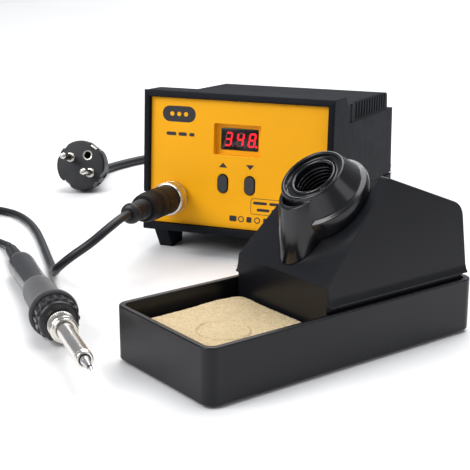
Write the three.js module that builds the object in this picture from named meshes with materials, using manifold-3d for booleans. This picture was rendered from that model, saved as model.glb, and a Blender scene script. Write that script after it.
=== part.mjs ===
// Soldering iron station: control unit, plug-in 24 V iron on its cord, iron stand with a
// cleaning sponge, and mains lead. Millimetres, +Z up, the control unit faces -Y.
import * as THREE from 'three';
import { mergeVertices } from 'three/addons/utils/BufferGeometryUtils.js';
import Module from 'manifold-3d';

const wasm = await Module();
wasm.setup();

// ---------------------------------------------------------------- driving dimensions
const GAP = 0.3; // clearance between neighbouring solids
const LEAN = THREE.MathUtils.degToRad(4.4); // the control unit leans back by this much

const MIDDLE = [2.1, 0.7, 0]; // brings the middle of the footprint to the origin
const UNIT_AT = [-13, 29, 14.1]; // front bottom edge of the case, over the table
const STAND_AT = [53, -182, 0]; // near corner of the stand's pan
const STAND_TURN = THREE.MathUtils.degToRad(57);
const IRON_AT = [5, -195, 17.2]; // point of the iron's tip
const IRON_TURN = THREE.MathUtils.degToRad(129);
const IRON_DIP = THREE.MathUtils.degToRad(2.8); // handle end lies lower than the tip

// control unit, in its own frame: x from the middle, y back from the front rim, z up from the underside
const CASE_W = 120;
const SEAM = 22.9; // height of the joint between cover and lower case
const SEAM_GAP = 0.5;
const WALL = 2.5;
const RIM = 3.7; // width of the black frame round the panel
const RIM_DEEP = 9;
const HUMP_TOP = 86;
const ROOF = 80.6;
const VENT_FOOT = 69.4; // lower ends of the vent slots, and the step at the rear
const REAR_TOP = 155; // depth at the rear step
const REAR_MID = 161; // depth at the seam
const REAR_LOW = 165; // depth at the underside
const PANEL_Y = 3; // panel face, behind the front rim
const PANEL_T = 2.5;
const SLOT_COUNT = 12;
const SLOT_PITCH = 7;
const SLOT_FIRST = 56;
const BUTTON_X = 8.6;
const BUTTON_Z = 31.9;
const BUTTON_W = 5.9;
const BUTTON_H = 10.9;
const DISPLAY_Z = 58.7;
const SOCKET_X = -40.5;
const SOCKET_Z = 21.3;
const RING_R = 10.1;
const PLUG_R = 8.8;
const PLUG_END = -43; // shoulder of the cord plug, in front of the rim
const BOOT_END = -62;
const GLAND_X = 34;
const GLAND_Z = 12;

// stand, in its own frame: x from the tray end, y across, z up from the table
const PAN_L = 165;
const PAN_W = 75.7;
const PAN_H = 28.5;
const DECK = 14; // floor of the sponge tray
const SPONGE = 55;
const SPONGE_T = 6;
const HOUSE_X0 = 70;
const HOUSE_Z0 = 31;
const SLOPE_TOP = [113, 85];
const SLOPE_FOOT = [70, 41];
const HOUSE_REAR = [162, 65.2];
const REAR_R = 8; // rounded corner at the rear of the housing's top edge
const LIP_L = 91; // lip that plugs the housing into the pan; its front closes off the sponge's end
const RIDGE = 36; // half width of the ridge round the housing's foot
const DRAFT_LOW = 34.8; // half width just above the ridge
const DRAFT_TOP = 27.2; // half width at its peak

// iron, along its own x from the point of the tip to the cord
const TIP_CONE = 16.8;
const TIP_R = 2.6;
const BARREL_R = 4.2;
const BARREL_END = 60.6;
const NUT_R = 6.9;
const NUT_END = 71;
const COLLAR_START = 75.3;
const COLLAR_R = 11;
const FLUTES = 16;
const GRIP_START = 87.5;
const FLANGE_R = 12.5;
const GRIP_END = 136;
const HANDLE_END = 196.5;
const IRON_END = 234;
const IRON_CORD_D = 5;

const MAINS_D = 6.5;
const PLUG_AT = [-178, 150, 21]; // middle of the mains plug's face
const PLUG_TURN = THREE.MathUtils.degToRad(100);
const PLUG_DIP = THREE.MathUtils.degToRad(15.7); // it lies on its rim, boot end down
const PLUG_ROLL = THREE.MathUtils.degToRad(35);
const PLUG_FACE_R = 18.4;
const PLUG_BODY = 34;
const PLUG_BOOT = 62;

// coils of spare cord, lying on the table: middle, and radius at the middle of the turns
const IRON_COIL = { at: [-232, 42], r: 29.2 };
const MAINS_COIL = { at: [-21, 282], r: 35.5 };

// ---------------------------------------------------------------- materials
const paint = (color, roughness, metalness = 0) =>
  new THREE.MeshStandardMaterial({ color, roughness, metalness });
const blackAbs = () => paint(0x23262b, 0.5);
const glossBlack = () => paint(0x17181b, 0.2);
const rubber = () => paint(0x1c1c1e, 0.75);
const yellow = () => paint(0xf7ac12, 0.45);
const steel = () => paint(0xb9b6b0, 0.3, 1);
const nickel = () => paint(0xc8c4bc, 0.22, 1);
const darkSteel = () => paint(0x4a4c50, 0.45, 1);

// ---------------------------------------------------------------- shape helpers
function bare(geometry) {
  const copy = geometry.clone();
  copy.deleteAttribute('normal');
  copy.deleteAttribute('uv');
  return mergeVertices(copy, 1e-4);
}

function solid(geometry) {
  const g = bare(geometry);
  return new wasm.Manifold(
    new wasm.Mesh({
      numProp: 3,
      vertProperties: Float32Array.from(g.attributes.position.array),
      triVerts: Uint32Array.from(g.index.array),
    }),
  );
}

function geometryOf(manifold) {
  const mesh = manifold.getMesh();
  const g = new THREE.BufferGeometry();
  g.setAttribute('position', new THREE.BufferAttribute(mesh.vertProperties, 3));
  g.setIndex(new THREE.BufferAttribute(mesh.triVerts, 1));
  g.computeVertexNormals();
  return g;
}

function cut(geometry, ...tools) {
  return geometryOf(tools.reduce((left, tool) => left.subtract(solid(tool)), solid(geometry)));
}

function join(geometry, ...more) {
  return geometryOf(more.reduce((left, tool) => left.add(solid(tool)), solid(geometry)));
}

function common(a, b) {
  return geometryOf(solid(a).intersect(solid(b)));
}

// a block given by its two corners
function block([x0, y0, z0], [x1, y1, z1]) {
  return new THREE.BoxGeometry(x1 - x0, y1 - y0, z1 - z0).translate(
    (x0 + x1) / 2,
    (y0 + y1) / 2,
    (z0 + z1) / 2,
  );
}

function outline(points) {
  return new THREE.Shape(points.map(([x, y]) => new THREE.Vector2(x, y)));
}

function roundedRect(w, h, r) {
  const shape = new THREE.Shape();
  const [x, y] = [w / 2, h / 2];
  shape.moveTo(-x + r, -y);
  shape.lineTo(x - r, -y);
  shape.absarc(x - r, -y + r, r, -Math.PI / 2, 0);
  shape.lineTo(x, y - r);
  shape.absarc(x - r, y - r, r, 0, Math.PI / 2);
  shape.lineTo(-x + r, y);
  shape.absarc(-x + r, y - r, r, Math.PI / 2, Math.PI);
  shape.lineTo(-x, -y + r);
  shape.absarc(-x + r, -y + r, r, Math.PI, 1.5 * Math.PI);
  return shape;
}

function extrude(shape, depth, curveSegments = 4) {
  return new THREE.ExtrudeGeometry(shape, { depth, bevelEnabled: false, curveSegments });
}

// an outline in the y-z plane, extruded along x from x0 to x1
function prismX(points, x0, x1) {
  const g = extrude(outline(points), x1 - x0);
  return g.rotateY(Math.PI / 2).rotateX(Math.PI / 2).translate(x0, 0, 0);
}

// an outline in the x-z plane, extruded along y from y0 to y1
function prismY(points, y0, y1, curveSegments = 4) {
  const shape = points instanceof THREE.Shape ? points : outline(points);
  return extrude(shape, y1 - y0, curveSegments).rotateX(Math.PI / 2).translate(0, y1, 0);
}

// an outline in the x-y plane, extruded along z from z0 to z1
function prismZ(shape, z0, z1, curveSegments = 4) {
  return extrude(shape, z1 - z0, curveSegments).translate(0, 0, z0);
}

// a turned piece about the y axis; each point is [radius, y]
function turnedY(points, sides = 28) {
  return new THREE.LatheGeometry(
    points.map(([r, y]) => new THREE.Vector2(r, y)),
    sides,
  );
}

// a turned piece about the x axis; each point is [x, radius]
function turnedX(points, sides = 28) {
  return turnedY(
    points.map(([x, r]) => [r, x]),
    sides,
  ).rotateZ(-Math.PI / 2);
}

// a turned piece about the z axis; each point is [radius, z]
function turnedZ(points, sides = 28) {
  return turnedY(points, sides).rotateX(Math.PI / 2);
}

function tube(points, diameter, steps, sides) {
  const route = new THREE.CatmullRomCurve3(points.map((p) => new THREE.Vector3(...p)));
  const section = new THREE.Shape();
  section.absarc(0, 0, diameter / 2, 0, 2 * Math.PI);
  return new THREE.ExtrudeGeometry(section, {
    steps,
    extrudePath: route,
    bevelEnabled: false,
    curveSegments: sides / 2,
  });
}

function add(parent, name, geometry, material) {
  const mesh = new THREE.Mesh(outward(geometry), material);
  mesh.name = name;
  parent.add(mesh);
  return mesh;
}

// faces point out whichever way a profile was drawn
function outward(geometry) {
  const g = bare(geometry);
  const [p, index] = [g.attributes.position, g.index];
  const corner = [new THREE.Vector3(), new THREE.Vector3(), new THREE.Vector3()];
  let volume = 0;
  for (let i = 0; i < index.count; i += 3) {
    corner.forEach((v, k) => v.fromBufferAttribute(p, index.getX(i + k)));
    volume += corner[0].dot(corner[1].clone().cross(corner[2]));
  }
  if (volume < 0) {
    for (let i = 0; i < index.count; i += 3) {
      const first = index.getX(i);
      index.setX(i, index.getX(i + 1));
      index.setX(i + 1, first);
    }
  }
  g.computeVertexNormals();
  return g;
}

// ---------------------------------------------------------------- control unit
const unit = new THREE.Group();
unit.position.set(...UNIT_AT);
unit.rotation.x = -LEAN;

// depth of the slanted rear face at a height
function rearAt(z) {
  return z > SEAM
    ? REAR_MID + ((REAR_TOP - REAR_MID) * (z - SEAM)) / (VENT_FOOT - SEAM)
    : REAR_LOW + ((REAR_MID - REAR_LOW) * z) / SEAM;
}

function topCover() {
  const foot = SEAM + SEAM_GAP;
  const half = CASE_W / 2;
  const profile = [
    [0, foot],
    [rearAt(foot), foot],
    [REAR_TOP, VENT_FOOT],
    [143.5, VENT_FOOT],
    [142, ROOF - 1.5],
    [140, ROOF],
    [32.5, ROOF],
    [27, HUMP_TOP - 0.8],
    [25, HUMP_TOP],
    [1.5, HUMP_TOP],
    [0, HUMP_TOP - 1.5],
  ];
  const hollow = [
    [RIM_DEEP, foot - 1],
    [rearAt(foot) - WALL, foot - 1],
    [REAR_TOP - WALL, VENT_FOOT - WALL],
    [141 - WALL, VENT_FOOT - WALL],
    [141 - WALL, ROOF - WALL],
    [RIM_DEEP, ROOF - WALL],
  ];
  const tools = [
    prismX(hollow, -half + WALL, half - WALL),
    block([-half + RIM, -1, foot - 1], [half - RIM, RIM_DEEP + 1, HUMP_TOP - RIM]),
  ];
  for (const side of [-1, 1]) {
    // the vent block stands 1.2 mm in from the side wall
    const [a, b] = [side * (half - 1.2), side * (half + 1)];
    tools.push(block([Math.min(a, b), 37, VENT_FOOT], [Math.max(a, b), 145, ROOF + 1]));
    for (let i = 0; i < SLOT_COUNT; i += 1) {
      const y = SLOT_FIRST + i * SLOT_PITCH;
      const [c, d] = [side * (half - WALL - 2.2), side * (half + 1)];
      tools.push(block([Math.min(c, d), y - 1.5, VENT_FOOT + 0.8], [Math.max(c, d), y + 1.5, ROOF + 1]));
    }
  }
  tools.push(rearPlaced(block([-14.2, -9, -11.2], [14.2, 9, 11.2])));
  return cut(prismX(profile, -half, half), ...tools);
}

// the rocker switch sits square to the slanted rear face
const REAR_TILT = Math.atan2(REAR_MID - REAR_TOP, VENT_FOOT - SEAM);
const SWITCH_X = -26;
const SWITCH_Z = 47;
const ROCKER_TILT = THREE.MathUtils.degToRad(10);
function rearPlaced(geometry) {
  return geometry.rotateX(REAR_TILT).translate(SWITCH_X, rearAt(SWITCH_Z), SWITCH_Z);
}

function bottomCase() {
  const top = SEAM - SEAM_GAP;
  const half = CASE_W / 2;
  const profile = [
    [0, 1.5],
    [0, top],
    [rearAt(top), top],
    [REAR_LOW, 0],
    [1.5, 0],
  ];
  const hollow = [
    [RIM_DEEP, WALL],
    [RIM_DEEP, top + 1],
    [rearAt(top) - WALL, top + 1],
    [REAR_LOW - WALL, WALL],
  ];
  // moulded skids with sloping fronts; their undersides lie on the table
  const skid = (x) =>
    prismX(
      [
        [5, 0.6],
        [32, 0.6],
        [31, floorAt(31)],
        [15, floorAt(15)],
      ],
      x - 4.4,
      x + 4.4,
    );
  const tools = [
    prismX(hollow, -half + WALL, half - WALL),
    block([-half + RIM, -1, 4.6], [half - RIM, RIM_DEEP + 1, top + 1]),
    turnedY(circleProfile(4.4, REAR_LOW - 10, REAR_LOW + 2), 20).translate(GLAND_X, 0, GLAND_Z),
  ];
  for (let i = 0; i < 7; i += 1) {
    for (const side of [-1, 1]) {
      const [y, x] = [52 + i * 14, side * 26];
      tools.push(block([x - 16, y - 1.5, -1], [x + 16, y + 1.5, WALL + 1]));
    }
  }
  const shell = cut(prismX(profile, -half, half), ...tools);
  return join(shell, skid(-50.1), skid(50.1));
}

// height of the table under the leaning case, in the unit's frame
function floorAt(y) {
  return -UNIT_AT[2] / Math.cos(LEAN) + y * Math.tan(LEAN);
}

function circleProfile(r, y0, y1) {
  return [
    [0, y0],
    [r, y0],
    [r, y1],
    [0, y1],
  ];
}

// a ring about the y axis
function ringProfile(r0, r1, y0, y1) {
  return [
    [r0, y0],
    [r1, y0],
    [r1, y1],
    [r0, y1],
    [r0, y0],
  ];
}

function frontPanel() {
  const half = CASE_W / 2 - RIM - GAP;
  const plate = block([-half, PANEL_Y, 4.6 + GAP], [half, PANEL_Y + PANEL_T, HUMP_TOP - RIM - GAP]);
  // the frame round the display is pressed back, with the window behind it
  const box = prismY(roundedRect(32.8, 21.7, 1.2), PANEL_Y + 0.6, PANEL_Y + 7).translate(0, 0, DISPLAY_Z);
  const recess = prismY(roundedRect(29.8, 18.7, 0.8), 0, PANEL_Y + 4.5).translate(0, 0, DISPLAY_Z);
  const windowHole = prismY(roundedRect(23.7, 13.1, 0.5), 0, 20).translate(0, 0, DISPLAY_Z);
  const holes = [recess, windowHole];
  for (const side of [-1, 1]) {
    const pill = roundedRect(BUTTON_W + 1, BUTTON_H + 1, (BUTTON_W + 1) / 2 - 0.01);
    holes.push(prismY(pill, 0, 20).translate(side * BUTTON_X, 0, BUTTON_Z));
  }
  holes.push(turnedY(circleProfile(8.1, 0, 20), 24).translate(SOCKET_X, 0, SOCKET_Z));
  return cut(join(plate, box), ...holes);
}

add(unit, 'top_cover', topCover(), blackAbs());
add(unit, 'bottom_case', bottomCase(), blackAbs());
add(unit, 'front_panel', frontPanel(), yellow());

// display, its board and the two key switches
const BOARD_Y = PANEL_Y + 16;
add(
  unit,
  'display_module',
  block([-15, PANEL_Y + 7 + GAP, DISPLAY_Z - 8], [15, BOARD_Y - GAP, DISPLAY_Z + 8]),
  glossBlack(),
);
add(unit, 'control_board', block([-24, BOARD_Y, 18], [48, BOARD_Y + 1.6, 76]), paint(0x1f5a34, 0.5));
for (const [name, side] of [['up', -1], ['down', 1]]) {
  const x = side * BUTTON_X;
  const body = block([x - 3, BOARD_Y - 4.6, BUTTON_Z - 3], [x + 3, BOARD_Y - GAP, BUTTON_Z + 3]);
  const plunger = block([x - 1.2, BOARD_Y - 6, BUTTON_Z - 1.2], [x + 1.2, BOARD_Y - 4, BUTTON_Z + 1.2]);
  add(unit, `key_switch_${name}`, join(body, plunger), darkSteel());
  const cap = roundedRect(BUTTON_W, BUTTON_H, BUTTON_W / 2 - 0.01);
  const flange = roundedRect(BUTTON_W + 2.4, BUTTON_H + 2.4, BUTTON_W / 2 + 1.1);
  const button = join(
    prismY(cap, PANEL_Y - 0.9, PANEL_Y + 5),
    prismY(flange, PANEL_Y + PANEL_T + 1.2, PANEL_Y + PANEL_T + 2.4),
    block([-1.5, PANEL_Y + 4, -1.5], [1.5, BOARD_Y - 7.2, 1.5]),
  );
  add(unit, `${name}_button`, button.translate(x, 0, BUTTON_Z), paint(0x3a3d42, 0.5));
}

// panel socket of the iron's lead, with its nut behind the panel
const socket = turnedY([
  [6.4, -7],
  [7.8, -7],
  [7.8, 0.9],
  [9.6, 1.2],
  [9.6, PANEL_Y - GAP],
  [7.8, PANEL_Y - GAP],
  [7.8, 17],
  [0, 17],
  [0, 1.5],
  [6.4, 1.5],
  [6.4, -7],
], 20);
add(unit, 'panel_socket', socket.translate(SOCKET_X, 0, SOCKET_Z), nickel());
const NUT_Y = PANEL_Y + PANEL_T + GAP;
const socketNut = cut(
  turnedY(circleProfile(10.4, NUT_Y, NUT_Y + 3), 6),
  turnedY(circleProfile(8.2, NUT_Y - 1, NUT_Y + 4), 20),
);
add(unit, 'socket_nut', socketNut.translate(SOCKET_X, 0, SOCKET_Z), nickel());

// transformer on the lower case
add(unit, 'transformer_core', cut(
  block([-33, 84, WALL + GAP], [33, 120, 60]),
  block([-22, 83, 14], [-9, 121, 50]),
  block([9, 83, 14], [22, 121, 50]),
), darkSteel());
add(unit, 'transformer_winding', cut(
  block([-21.7, 76, 14.3], [21.7, 128, 49.7]),
  block([-9.3, 83.7, 13], [9.3, 120.3, 51]),
), paint(0x8c4a22, 0.6));

// rocker switch in the rear wall
const switchBody = cut(
  join(block([-13.9, -8, -10.9], [13.9, 2, 10.9]), block([-16, GAP, -13], [16, 2, 13])),
  block([-10.4, -4.5, -7.4], [10.4, 3, 7.4]),
);
add(unit, 'power_switch_body', rearPlaced(switchBody), glossBlack());
const rocker = prismX(
  [
    [-4, -2],
    [1.2, -6.2],
    [3.4, -6.2],
    [1.9, 0],
    [3.4, 6.2],
    [1.2, 6.2],
    [-4, 2],
  ],
  -10,
  10,
);
// it pivots 2 mm inside the rear face, and rests tilted to its off side
rocker.translate(0, 2, 0).rotateX(-ROCKER_TILT).translate(0, -2, 0);
add(unit, 'power_rocker', rearPlaced(rocker), glossBlack());

// mains strain relief in the rear wall: collar, groove, then a tapered tail
const GLAND_Y = rearAt(GLAND_Z);
const gland = turnedY([
  [0, GLAND_Y - 9],
  [6.5, GLAND_Y - 9],
  [6.5, GLAND_Y - 4.2],
  [4.1, GLAND_Y - 4.2],
  [4.1, GLAND_Y + 1.6],
  [7, GLAND_Y + 1.8],
  [6.6, GLAND_Y + 5],
  [4.4, GLAND_Y + 32],
  [0, GLAND_Y + 32],
], 20);
add(unit, 'mains_gland', gland.translate(GLAND_X, 0, GLAND_Z), rubber());

// rear rubber feet, cut level with the table
for (const [name, x] of [['left', -46], ['right', 46]]) {
  const foot = turnedZ([[0, -6], [4.5, -6], [4.5, -GAP], [0, -GAP]], 16).translate(x, 148, 0);
  const table = block([x - 10, 130, -20], [x + 10, 170, 0]);
  const under = prismX([[130, -20], [170, -20], [170, floorAt(170)], [130, floorAt(130)]], x - 10, x + 10);
  add(unit, `rear_foot_${name}`, cut(common(foot, table), under), rubber());
}

// case screws from below, in the four corners
for (const [name, x, y] of [['fl', -50.1, 44], ['fr', 50.1, 44], ['rl', -50.1, 134], ['rr', 50.1, 134]]) {
  const screw = turnedZ([[0, -1.1], [2.6, -1.1], [2.9, -GAP], [0, -GAP]], 12);
  add(unit, `case_screw_${name}`, screw.translate(x, y, 0), steel());
}

// ---------------------------------------------------------------- lead plug on the unit
const atSocket = (g) => g.translate(SOCKET_X, 0, SOCKET_Z);
add(unit, 'coupling_ring', atSocket(turnedY(ringProfile(8.1, RING_R, -8.6, 0.6), 32)), nickel());
const plugShell = turnedY([
  [4.9, -1.5],
  [6.1, -1.5],
  [6.1, -8.9],
  [PLUG_R, -9.2],
  [PLUG_R, -36],
  [7.6, PLUG_END],
  [0, PLUG_END],
  [0, -8.6],
  [4.9, -8.6],
  [4.9, -1.5],
], 22);
add(unit, 'plug_shell', atSocket(plugShell), glossBlack());
add(unit, 'plug_insert', atSocket(turnedY(circleProfile(4.6, -8.3, -2.2), 20)), glossBlack());
const boot = turnedY([
  [0, PLUG_END - GAP],
  [5.9, PLUG_END - GAP],
  [5.4, BOOT_END + 5],
  [6, BOOT_END + 4],
  [6, BOOT_END + 1],
  [4.4, BOOT_END],
  [0, BOOT_END],
], 20);
add(unit, 'plug_boot', atSocket(boot), rubber());

// ---------------------------------------------------------------- iron
const iron = new THREE.Group();
iron.position.set(...IRON_AT);
iron.rotation.order = 'ZYX';
iron.rotation.set(0, IRON_DIP, IRON_TURN);

const tipPiece = turnedX([
  [0, 0],
  [0, 0.35],
  [3.2, 0.95],
  [TIP_CONE, TIP_R],
  [44, TIP_R],
  [44, 3.3],
  [48, 3.3],
  [48, 2.2],
  [24, 2.2],
  [24, 0],
], 20);
add(iron, 'iron_tip', tipPiece, steel());
const barrel = turnedX([
  [15.6, TIP_R + GAP],
  [15.6, BARREL_R - 0.8],
  [16.8, BARREL_R],
  [BARREL_END + 1.5, BARREL_R],
  [BARREL_END + 1.5, 5.6],
  [BARREL_END + 3.5, 5.6],
  [BARREL_END + 3.5, 3.7],
  [43.5, 3.7],
  [43.5, TIP_R + GAP],
  [15.6, TIP_R + GAP],
], 24);
add(iron, 'barrel_tube', barrel, steel());
const nut = turnedX([
  [BARREL_END, BARREL_R + GAP],
  [BARREL_END, NUT_R - 1],
  [BARREL_END + 1, NUT_R],
  [NUT_END - 0.8, NUT_R],
  [NUT_END, NUT_R - 0.8],
  [NUT_END, 5.9],
  [BARREL_END + 1.2, 5.9],
  [BARREL_END + 1.2, BARREL_R + GAP],
  [BARREL_END, BARREL_R + GAP],
], 24);
add(iron, 'barrel_nut', nut, nickel());
// the nipple is the metal sleeve that carries the nut's thread into the handle
const nipple = turnedX([
  [BARREL_END + 3.9, 2.9],
  [BARREL_END + 3.9, 5.5],
  [97, 5.5],
  [97, 2.9],
  [BARREL_END + 3.9, 2.9],
], 20);
add(iron, 'nipple_tube', nipple, nickel());
const heater = turnedX([[24.6, 0], [24.6, 1.9], [110, 1.9], [110, 0]], 12);
add(iron, 'heater_element', heater, paint(0xe6e2d8, 0.6));

function flutedOutline() {
  const shape = new THREE.Shape();
  const steps = FLUTES * 2;
  for (let i = 0; i <= steps; i += 1) {
    const a = (i / steps) * 2 * Math.PI;
    const r = COLLAR_R - 0.9 * (0.5 - 0.5 * Math.cos(FLUTES * a));
    shape[i === 0 ? 'moveTo' : 'lineTo'](r * Math.cos(a), r * Math.sin(a));
  }
  const hole = new THREE.Path();
  hole.absarc(0, 0, 5.9, 0, 2 * Math.PI, true);
  shape.holes.push(hole);
  return shape;
}
const flutes = extrude(flutedOutline(), 8.6, 10).rotateY(Math.PI / 2).translate(COLLAR_START + 3, 0, 0);
const collarRing = turnedX([
  [COLLAR_START, 5.9],
  [COLLAR_START, 9.2],
  [COLLAR_START + 0.8, 10],
  [COLLAR_START + 3.2, 10],
  [COLLAR_START + 3.2, 5.9],
  [COLLAR_START, 5.9],
], 28);
add(iron, 'fluted_collar', join(flutes, collarRing), blackAbs());
const grip = turnedX([
  [GRIP_START, 5.9],
  [GRIP_START, FLANGE_R - 1.2],
  [GRIP_START + 1.2, FLANGE_R],
  [GRIP_START + 4.5, FLANGE_R],
  [GRIP_START + 6.5, 10.4],
  [GRIP_START + 14, 9.2],
  [GRIP_END - 4, 8.8],
  [GRIP_END, 7.9],
  [GRIP_END, 5.9],
  [GRIP_START, 5.9],
], 24);
add(iron, 'foam_grip', grip, rubber());
const handle = turnedX([
  [99, 2.3],
  [99, 5.6],
  [GRIP_END + GAP, 5.6],
  [GRIP_END + GAP, 7.6],
  [150, 7.4],
  [176, 7.6],
  [190, 7.9],
  [HANDLE_END - 1, 7],
  [HANDLE_END, 6],
  [HANDLE_END, 3],
  [112, 3],
  [112, 2.3],
  [99, 2.3],
], 20);
add(iron, 'handle_shell', handle, blackAbs());
const relief = turnedX([
  [HANDLE_END - 9, 0],
  [HANDLE_END - 9, 2.7],
  [HANDLE_END + GAP, 2.7],
  [HANDLE_END + GAP, 5],
  [HANDLE_END + 3, 4.6],
  [IRON_END - 2, 3.8],
  [IRON_END, 3.4],
  [IRON_END, 0],
], 20);
add(iron, 'iron_strain_relief', relief, rubber());

// ---------------------------------------------------------------- stand
const stand = new THREE.Group();
stand.position.set(...STAND_AT);
stand.rotation.z = STAND_TURN;
const MID_Y = PAN_W / 2;
const PAN_FOOT = 1.5;

function standPan() {
  const plan = (inset, r) => roundedRect(PAN_L - 2 * inset, PAN_W - 2 * inset, r);
  const centred = (g) => g.translate(PAN_L / 2, MID_Y, 0);
  const body = centred(prismZ(plan(0, 6), PAN_FOOT, PAN_H));
  const under = centred(prismZ(plan(2.5, 3.6), 0, DECK - 2.5, 3));
  const tray = centred(prismZ(plan(3, 4), DECK, PAN_H + 1));
  const bosses = [];
  for (const [x, y] of footPlaces()) {
    bosses.push(turnedZ([[0, 4], [7, 4], [7, DECK - 2], [0, DECK - 2]], 10).translate(x, y, 0));
  }
  return join(cut(body, under, tray), ...bosses);
}

function footPlaces() {
  return [
    [14, 14],
    [PAN_L - 14, 14],
    [14, PAN_W - 14],
    [PAN_L - 14, PAN_W - 14],
  ];
}

add(stand, 'stand_pan', standPan(), blackAbs());
footPlaces().forEach(([x, y], i) => {
  const pad = turnedZ([[0, 0], [5.6, 0], [6, 0.6], [6, 4 - GAP], [0, 4 - GAP]], 16);
  add(stand, `stand_foot_${i + 1}`, pad.translate(x, y, 0), rubber());
});

const sponge = prismZ(roundedRect(SPONGE, SPONGE, 2), DECK + GAP, DECK + GAP + SPONGE_T).translate(
  11 + SPONGE / 2,
  MID_Y,
  0,
);
add(stand, 'sponge', sponge, paint(0xdec891, 0.95));

// the receptacle leans forward a little less than the slope it grows from
const SLOPE = Math.atan2(SLOPE_TOP[1] - SLOPE_FOOT[1], SLOPE_TOP[0] - SLOPE_FOOT[0]);
const MOUTH_LEAN = THREE.MathUtils.degToRad(36);
const BORE_FOOT = [SLOPE_FOOT[0] + 29, SLOPE_FOOT[1] + 29 * Math.tan(SLOPE)];
// a piece standing at the bore's foot, tipped forward by an angle
function tipped(geometry, angle) {
  return geometry.rotateY(-angle).translate(BORE_FOOT[0], MID_Y, BORE_FOOT[1]);
}

function houseProfile(inset) {
  const [rx, rz] = HOUSE_REAR;
  const i = inset;
  const fall = Math.atan2(SLOPE_TOP[1] - rz, rx - SLOPE_TOP[0]);
  const middle = rz + REAR_R * Math.tan(fall) - REAR_R / Math.cos(fall);
  const corner = [0, 1, 2, 3, 4, 5].map((k) => {
    const a = (Math.PI / 2 - fall) * (1 - k / 5);
    return [rx - REAR_R + (REAR_R - i) * Math.cos(a), middle + (REAR_R - i) * Math.sin(a)];
  });
  return [
    [HOUSE_X0 + i, HOUSE_Z0 - (i ? 1 : 0)],
    [SLOPE_FOOT[0] + i, SLOPE_FOOT[1] - i * 0.4],
    [SLOPE_TOP[0] + i * 0.3, SLOPE_TOP[1] - i * 1.3],
    ...corner,
    [rx - i, HOUSE_Z0 - (i ? 1 : 0)],
  ];
}

function drafted(inset) {
  const half = [
    [RIDGE, HOUSE_Z0 - 2],
    [RIDGE, HOUSE_Z0 + 1],
    [DRAFT_LOW + 0.3, HOUSE_Z0 + 2],
    [DRAFT_LOW - 0.5, HOUSE_Z0 + 4.5],
    [DRAFT_TOP, SLOPE_TOP[1] + 1],
  ].map(([y, z]) => [y - inset, z]);
  const section = [
    ...half.map(([y, z]) => [MID_Y + y, z]),
    ...half.map(([y, z]) => [MID_Y - y, z]).reverse(),
  ];
  return common(prismY(houseProfile(inset), 0, PAN_W), prismX(section, 0, PAN_L));
}

// trough between the two side walls, falling to the rear with their top edges
function trough(grow) {
  const section = new THREE.Shape();
  const half = 21 + grow;
  section.moveTo(-half, 40);
  section.lineTo(-half, 0);
  section.absarc(0, 0, half, Math.PI, 2 * Math.PI);
  section.lineTo(half, 40);
  const fall = Math.atan2(SLOPE_TOP[1] - HOUSE_REAR[1], HOUSE_REAR[0] - SLOPE_TOP[0]);
  return extrude(section, 90, 8)
    .rotateX(Math.PI / 2)
    .rotateZ(Math.PI / 2)
    .rotateY(fall)
    .translate(98, MID_Y, 86);
}

function standHousing() {
  const outer = drafted(0);
  const bore = tipped(turnedZ([[0, -40], [13.2, -40], [13.2, 14], [0, 14]], 24), MOUTH_LEAN);
  const shell = cut(outer, trough(0), geometryOf(solid(drafted(2.5)).subtract(solid(trough(2.2)))), bore);
  // lip that plugs into the pan, with a square front face
  const half = PAN_W / 2 - 4;
  const lipPlan = (inset) => roundedRect(LIP_L - 2 * inset, 2 * (half - inset), 4);
  const lip = prismZ(lipPlan(0), DECK + GAP, HOUSE_Z0 + 1.5).translate(LIP_L / 2, MID_Y, 0);
  const front = block([0, MID_Y - half, DECK + GAP], [WALL * 2, MID_Y + half, HOUSE_Z0 + 1.5]);
  const hollow = prismZ(lipPlan(WALL), DECK - 1, HOUSE_Z0 + 5).translate(LIP_L / 2, MID_Y, 0);
  return join(shell, cut(join(lip, front), hollow).translate(HOUSE_X0, 0, 0));
}

function receptacle() {
  // two cones, one above the other, and a mouth with a ring sunk inside its lip
  const skirt = turnedZ([
    [0, -9],
    [24.4, -9],
    [23.2, 6],
    [21, 7],
    [16.8, 17],
    [16.2, 17.8],
    [14.8, 17.8],
    [14.5, 15.4],
    [11.8, 15.4],
    [11.4, 16.8],
    [0, 16.8],
  ], 30);
  const sleeve = turnedZ([[0, -34], [12.6, -34], [12.6, 1], [0, 1]], 20);
  const bore = turnedZ([[0, -36], [7, -36], [7, -30], [10, -10], [10, 20], [0, 20]], 20);
  // half-round shield that stands in front of the mouth
  const upright = (r, z0) => turnedZ([[0, z0], [r, z0], [r, 100], [0, 100]], 24).translate(BORE_FOOT[0] - 15, MID_Y, 0);
  const under = (z) => tipped(block([-60, -30, -40], [9, 30, z]), MOUTH_LEAN);
  const over = (z) => tipped(block([-60, -30, z], [60, 30, 60]), MOUTH_LEAN);
  const clearOfSlope = tipped(block([-60, -30, 0.3], [60, 30, 60]), SLOPE);
  const shield = cut(common(upright(12, 30), under(16)), common(upright(10.4, 30), over(9)));
  const body = join(common(join(tipped(skirt, MOUTH_LEAN), shield), clearOfSlope), tipped(sleeve, MOUTH_LEAN));
  return cut(body, tipped(bore, MOUTH_LEAN));
}

add(stand, 'stand_housing', standHousing(), blackAbs());
add(stand, 'iron_receptacle', receptacle(), glossBlack());

// ---------------------------------------------------------------- cords on the table
const cords = new THREE.Group();

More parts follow.
